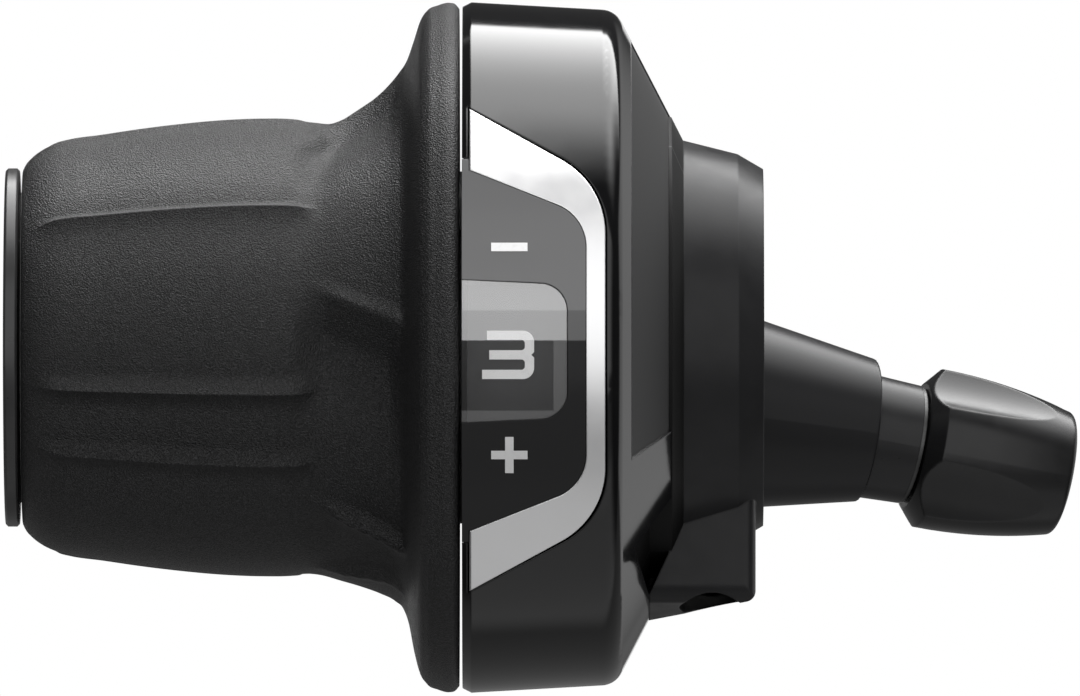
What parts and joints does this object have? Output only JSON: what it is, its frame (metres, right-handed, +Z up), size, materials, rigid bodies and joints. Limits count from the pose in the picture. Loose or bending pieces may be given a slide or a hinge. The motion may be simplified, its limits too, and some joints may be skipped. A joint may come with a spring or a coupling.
{
  "type": "twist grip shifter",
  "caption": "Left-hand bicycle twist grip shifter with a rubber grip, gear display, handlebar clamp and a slanted cable outlet with a barrel adjuster.",
  "frame": {"origin": "on the handlebar axis, in the gap between the turning grip and the housing", "axes": "+X along the handlebar towards the stem, -Y towards the rider who reads the display, +Z up"},
  "size_m": [0.0869, 0.0613, 0.0557],
  "materials": {
    "grip_rubber": "grainy matte",
    "gloss_black": "polished",
    "satin_black": "satin",
    "ring_grey": "satin",
    "inner_grey": "moulded",
    "dial_dark": "moulded",
    "mark_white": "printed",
    "panel_dark": "polished",
    "window_clear": "polished",
    "trim_silver": "plated",
    "steel": "zinc plated",
    "knob_black": "semi-gloss",
    "bright_metal": "turned"
  },
  "bodies": {
    "bracket": {"bracket_body": "satin_black", "display_cover": "gloss_black", "display_bezel": "trim_silver", "display_panel": "panel_dark", "gear_window": "window_clear", "direction_marks": "mark_white", "cover_screws": "steel", "retainer_ring": "ring_grey", "clamp_bolt": "steel", "clamp_nut": "steel", "detent_spring": "steel", "cable_guide": "inner_grey", "adjuster_tube": "satin_black", "adjuster_washer": "bright_metal"},
    "grip": {"grip_rubber": "grip_rubber", "grip_sleeve": "inner_grey", "cable_spool": "inner_grey", "index_ring": "inner_grey", "number_dial": "dial_dark", "dial_digits": "mark_white"},
    "knob": {"adjuster_knob": "knob_black"},
    "bolt": {"adjuster_bolt": "bright_metal"}
  },
  "joints": [
    {"name": "grip_twist", "type": "hinge", "parent": "bracket", "child": "grip", "pos_m": [0, 0, 0], "axis": [-1, 0, 0], "range_deg": [0, 72], "deforming": ["detent_spring"]},
    {"name": "adjuster_turn", "type": "hinge", "parent": "bracket", "child": "knob", "pos_m": [0.03288, 0.02529, -0.00746], "axis": [0.9633, 0.1907, -0.1891], "range_deg": [-360, 720]},
    {"name": "adjuster_travel", "type": "slide", "parent": "bracket", "child": "bolt", "axis": [0.9633, 0.1907, -0.1891], "range_m": [-0.001, 0.002]}
  ],
  "couplings": [
    {"joint": "adjuster_turn", "follows": "adjuster_travel", "rad_per_m": 6283.2}
  ]
}
